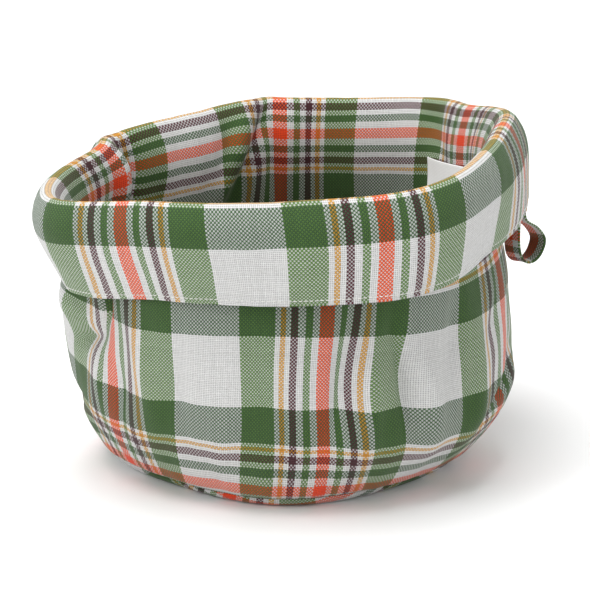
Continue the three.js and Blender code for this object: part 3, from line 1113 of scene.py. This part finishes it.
class StitchingOperator(bpy.types.Operator):
    """Topstitch the cuff above its hem, and stitch the two base seams inside the wall"""

    bl_idname = "basket.stitching"
    bl_label = "Stitching"

    def execute(self, context):
        wall = shared(Wall)
        size = sizes()
        face = wall.face(-wall.half)
        row = int(np.argmin(np.abs(wall.to_hem.mean(0) - size.stitch_inset)))
        self.round_line(
            "hem_stitches", "hem_topstitch", face[:, row], -wall.normal[:, row], share=0.72, sink=0.3
        )
        seams = (
            ("outer_seam_stitches", "outer_seam_thread"),
            ("lining_seam_stitches", "lining_seam_thread"),
        )
        for name, node in seams:
            height = sum(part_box(node), Vector())[2] / 2
            row = int(np.argmin(np.abs(wall.smooth[:, : wall.crest, 2].mean(0) - height)))
            path, normals = wall.places[:, row], wall.normal[:, row]
            self.round_line(name, node, path, normals, share=0.8, sink=0.1)
        return {"FINISHED"}

    @staticmethod
    def round_line(name, node, path, normals, share, sink):
        """Stitches all round the basket. sink is in millimetres."""
        path, normals = np.concatenate([path, path[:1]]), np.concatenate([normals, normals[:1]])
        size = sizes()
        line = stitches(name, path, normals, size.stitch_length, size.thread_width, share, sink * MM)
        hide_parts(node)
        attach(line, "basket")


def joint_named(name):
    found = next(j for j in frame["joints"] if j["name"] == name)
    return np.array(found["pos_m"]), np.array(found["axis"], float)


def strip(name, path, across, width, thickness, columns, material, uv_at, curl=None):
    """A flat strip of cloth along a path, with rounded edges. across is the direction of its width,
    and uv_at(distance along, distance across) is its place on the map."""
    onward = np.gradient(path, axis=0)
    onward /= np.linalg.norm(onward, axis=1, keepdims=True)
    across = across / np.linalg.norm(across)
    out = np.cross(onward, across)
    out /= np.linalg.norm(out, axis=1, keepdims=True)
    reached = np.concatenate([[0], np.cumsum(np.linalg.norm(np.diff(path, axis=0), axis=1))])
    half = width / 2
    top = np.linspace(-half + thickness / 2, half - thickness / 2, columns)
    edge = [(math.cos(t), math.sin(t)) for t in np.radians((55, 20, -20, -55))]
    section = [(x, thickness / 2) for x in top]
    section += [(half - thickness / 2 + thickness / 2 * c, thickness / 2 * s) for c, s in edge]
    section += [(x, -thickness / 2) for x in top[::-1]]
    section += [(-half + thickness / 2 - thickness / 2 * c, -thickness / 2 * s) for c, s in edge]
    count, points, uv = len(section), [], []
    for k, here in enumerate(path):
        for x, y in section:
            bend = curl(reached[k] / reached[-1], x / half) if curl else 0.0
            points.append(here + across * x + out[k] * (y + bend))
    faces = []
    for k in range(len(path) - 1):
        for i in range(count):
            j = (i + 1) % count
            faces.append((k * count + i, k * count + j, (k + 1) * count + j, (k + 1) * count + i))
            uv += [uv_at(reached[k + b], section[c][0]) for b, c in ((0, i), (0, j), (1, j), (1, i))]
    ends = [list(range(count - 1, -1, -1)), list(range((len(path) - 1) * count, len(path) * count))]
    for end in ends:
        faces.append(tuple(end))
        uv += [uv_at(reached[i // count], section[i % count][0]) for i in end]
    volume_sign(points, faces, uv)
    return finished(name, points, faces, material, uv), float(reached[-1])


def volume_sign(points, faces, uv):
    """Turns all faces over, with their map, if they face inwards."""
    points = np.asarray(points)
    volume = 0.0
    for face in faces:
        a = points[face[0]]
        for i in range(1, len(face) - 1):
            volume += float(np.dot(a, np.cross(points[face[i]], points[face[i + 1]])))
    if volume < 0:
        at = 0
        for k, face in enumerate(faces):
            faces[k] = tuple(face[::-1])
            uv[at : at + len(face)] = uv[at : at + len(face)][::-1]
            at += len(face)


class LoopOperator(bpy.types.Operator):
    """Bend the hanging loop from its strap and stitch its two ends"""

    bl_idname = "basket.hanging_loop"
    bl_label = "Hanging loop"

    def execute(self, context):
        hinge, axis = joint_named("loop_swing")
        across = axis / np.linalg.norm(axis)
        outward = np.cross(across, (0, 0, -1.0))
        if np.dot(outward, hinge * (1, 1, 0)) < 0:
            outward = -outward
        low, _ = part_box("hanging_loop")
        down = np.array((0, 0, -1.0)) * float(hinge[2] - low[2]) / LOOP_DEPTH
        knots = np.array([hinge + outward * x * MM + down * z * MM for x, z in LOOP_PATH])
        path = through(np.arange(len(knots)) * 1.0, knots, np.linspace(0, len(knots) - 1, 90))
        pitch = sizes().thread_pitch

        def lay(along, over):
            return (over / (WARP_THREADS * pitch) + 0.02, (along - 0.014) / (WEFT_THREADS * pitch))

        def curl(t, x):
            return 0.35 * MM * math.sin(9 * t + 2 * x) * math.sin(math.pi * t)

        loop, length = strip(
            "hanging_loop_strap", path, across, LOOP_WIDTH, LOOP_THICKNESS, columns=14,
            material=shared(plaid_material), uv_at=lay, curl=curl,
        )
        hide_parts("hanging_loop")
        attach(loop, "loop")
        self.tack(across)
        return {"FINISHED"}

    @staticmethod
    def tack(across):
        """A dense row of stitches across the strap's ends."""
        low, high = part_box("loop_stitching")
        middle = np.array((low + high) / 2)
        half = 4.9 * MM
        path = np.linspace(middle - across * half, middle + across * half, 30)
        normals = np.tile(np.array((0, 0, 1.0)), (len(path), 1))
        tack = stitches(
            "loop_stitches", path, normals, pitch=1.4 * MM, width=0.55 * MM, share=0.95, sink=0.12 * MM
        )
        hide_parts("loop_stitching")
        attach(tack, "basket")


class LabelOperator(bpy.types.Operator):
    """Sew the blank care label to the lining by its upright edge"""

    bl_idname = "basket.care_label"
    bl_label = "Care label"

    def execute(self, context):
        hinge, _ = joint_named("label_flap")
        low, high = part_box("care_label")
        places = np.array([v.co for v in frame["nodes"]["care_label"].data.vertices])
        plan = np.unique(np.round(places[:, :2], 6), axis=0)
        away = np.linalg.norm(plan - hinge[:2], axis=1)
        plan = plan[np.argsort(away)].reshape(-1, 2, 2).mean(1)
        flat = np.concatenate([plan, np.full((len(plan), 1), hinge[2])], 1)
        path = through(np.arange(len(flat)) * 1.0, flat, np.linspace(0, len(flat) - 1, 48))
        height = float(high[2] - low[2])
        length = float(np.linalg.norm(np.diff(path, axis=0), axis=1).sum())

        def lay(along, over):
            return (0.02 + 0.96 * along / length, 0.5 + 0.96 * over / height)

        def curl(t, x):
            return MM * (0.9 * t * t * math.sin(2.2 * x + 0.4) + 0.25 * math.sin(7 * t) * x)

        label, length = strip(
            "label_tag", path, np.array((0, 0, 1.0)), height, LABEL_THICKNESS, columns=40,
            material=satin_material(), uv_at=lay, curl=curl,
        )
        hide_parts("care_label")
        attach(label, "label")
        self.sew()
        return {"FINISHED"}

    @staticmethod
    def sew():
        """The upright row of stitches."""
        first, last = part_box("label_stitching")
        middle = (first + last) / 2
        upright = np.linspace(first[2], last[2], 40)
        path = np.stack([np.full(40, middle[0]), np.full(40, middle[1]), upright], 1)
        inward = -np.array((middle[0], middle[1], 0))
        normals = np.tile(inward / np.linalg.norm(inward), (len(path), 1))
        line = stitches(
            "label_stitches", path, normals, pitch=2.2 * MM, width=0.45 * MM, share=0.8, sink=0.1 * MM
        )
        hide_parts("label_stitching")
        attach(line, "basket")


class BasketPanel(bpy.types.Panel):
    """Lists the basket's sizes, colours and pieces"""

    bl_idname = "VIEW3D_PT_bread_basket"
    bl_label = "Bread basket"
    bl_space_type = "VIEW_3D"
    bl_region_type = "UI"
    bl_category = "Basket"

    def draw(self, context):
        for title, group in (("Sizes", sizes()), ("Colours", colours())):
            box = self.layout.box()
            box.label(text=title)
            for name in group.__annotations__:
                box.prop(group, name)
        for operator in OPERATORS:
            self.layout.operator(operator.bl_idname)


OPERATORS = (
    StageOperator,
    LiningOperator,
    OuterClothOperator,
    WaddingOperator,
    BaseOperator,
    StitchingOperator,
    LoopOperator,
    LabelOperator,
)
CLASSES = (BasketSizes, BasketColours, *OPERATORS, BasketPanel)


def register():
    for cls in CLASSES:
        bpy.utils.register_class(cls)
    bpy.types.Scene.basket_sizes = bpy.props.PointerProperty(type=BasketSizes)
    bpy.types.Scene.basket_colours = bpy.props.PointerProperty(type=BasketColours)


def unregister():
    del bpy.types.Scene.basket_colours
    del bpy.types.Scene.basket_sizes
    for cls in reversed(CLASSES):
        bpy.utils.unregister_class(cls)


def main():
    register()
    bpy.ops.basket.stage()
    bpy.ops.basket.lining()
    bpy.ops.basket.outer_cloth()
    bpy.ops.basket.wadding()
    bpy.ops.basket.base()
    bpy.ops.basket.stitching()
    bpy.ops.basket.hanging_loop()
    bpy.ops.basket.care_label()
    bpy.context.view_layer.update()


if __name__ == "__main__":
    main()
